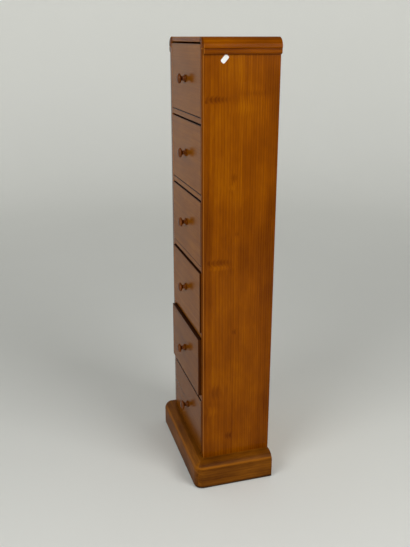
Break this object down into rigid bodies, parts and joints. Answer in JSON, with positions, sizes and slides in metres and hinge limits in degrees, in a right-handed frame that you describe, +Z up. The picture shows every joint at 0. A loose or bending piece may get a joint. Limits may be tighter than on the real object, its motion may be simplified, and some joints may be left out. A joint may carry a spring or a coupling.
{
  "type": "chiffonier",
  "caption": "Tall narrow wooden chest of drawers with round shoulders, turned knobs and a wide plinth with a rounded upper edge, its drawers stacked above each other.",
  "frame": {"origin": "on the floor, in the middle of the footprint: midway between the plinth's two sides and midway between the plinth's front and the back of the case", "axes": "+Z up, +X to the right as seen by someone facing the drawers, +Y from the drawer fronts to the back; drawers open along -Y"},
  "size_m": [0.425, 0.244, 1.3],
  "materials": {
    "case": "satin varnish",
    "moulding": "satin varnish",
    "rail": "satin varnish",
    "drawer_front": "gloss varnish",
    "knob": "gloss varnish",
    "plinth": "satin varnish",
    "drawer_box": "unfinished",
    "thin_board": "unfinished",
    "inner_wood": "unfinished"
  },
  "bodies": {
    "case": {"side_left": "case", "side_right": "case", "top_board": "case", "shoulder_left": "moulding", "shoulder_right": "moulding", "bead_left": "moulding", "bead_right": "moulding", "back_panel": "thin_board", "bottom_board": "case", "rail_1": "rail", "rail_2": "rail", "rail_3": "rail", "rail_4": "rail", "rail_5": "rail", "runners_left": "inner_wood", "runners_right": "inner_wood", "plinth_front": "plinth", "plinth_left": "plinth", "plinth_right": "plinth", "plinth_back": "inner_wood", "glue_blocks": "inner_wood", "drawer_stops": "inner_wood"},
    "drawer_1": {"drawer_1_front": "drawer_front", "drawer_1_side_left": "drawer_box", "drawer_1_side_right": "drawer_box", "drawer_1_back": "drawer_box", "drawer_1_bottom": "thin_board", "drawer_1_knob": "knob"},
    "drawer_2": {"drawer_2_front": "drawer_front", "drawer_2_side_left": "drawer_box", "drawer_2_side_right": "drawer_box", "drawer_2_back": "drawer_box", "drawer_2_bottom": "thin_board", "drawer_2_knob": "knob"},
    "drawer_3": {"drawer_3_front": "drawer_front", "drawer_3_side_left": "drawer_box", "drawer_3_side_right": "drawer_box", "drawer_3_back": "drawer_box", "drawer_3_bottom": "thin_board", "drawer_3_knob": "knob"},
    "drawer_4": {"drawer_4_front": "drawer_front", "drawer_4_side_left": "drawer_box", "drawer_4_side_right": "drawer_box", "drawer_4_back": "drawer_box", "drawer_4_bottom": "thin_board", "drawer_4_knob": "knob"},
    "drawer_5": {"drawer_5_front": "drawer_front", "drawer_5_side_left": "drawer_box", "drawer_5_side_right": "drawer_box", "drawer_5_back": "drawer_box", "drawer_5_bottom": "thin_board", "drawer_5_knob": "knob"},
    "drawer_6": {"drawer_6_front": "drawer_front", "drawer_6_side_left": "drawer_box", "drawer_6_side_right": "drawer_box", "drawer_6_back": "drawer_box", "drawer_6_bottom": "thin_board", "drawer_6_knob": "knob"}
  },
  "joints": [
    {"name": "drawer_1_slide", "type": "slide", "parent": "case", "child": "drawer_1", "axis": [0, -1, 0], "range_m": [0, 0.13]},
    {"name": "drawer_2_slide", "type": "slide", "parent": "case", "child": "drawer_2", "axis": [0, -1, 0], "range_m": [0, 0.13]},
    {"name": "drawer_3_slide", "type": "slide", "parent": "case", "child": "drawer_3", "axis": [0, -1, 0], "range_m": [-0.001, 0.129]},
    {"name": "drawer_4_slide", "type": "slide", "parent": "case", "child": "drawer_4", "axis": [0, -1, 0], "range_m": [-0.0045, 0.1255]},
    {"name": "drawer_5_slide", "type": "slide", "parent": "case", "child": "drawer_5", "axis": [0, -1, 0], "range_m": [-0.0095, 0.1205]},
    {"name": "drawer_6_slide", "type": "slide", "parent": "case", "child": "drawer_6", "axis": [0, -1, 0], "range_m": [-0.0015, 0.1285]}
  ]
}
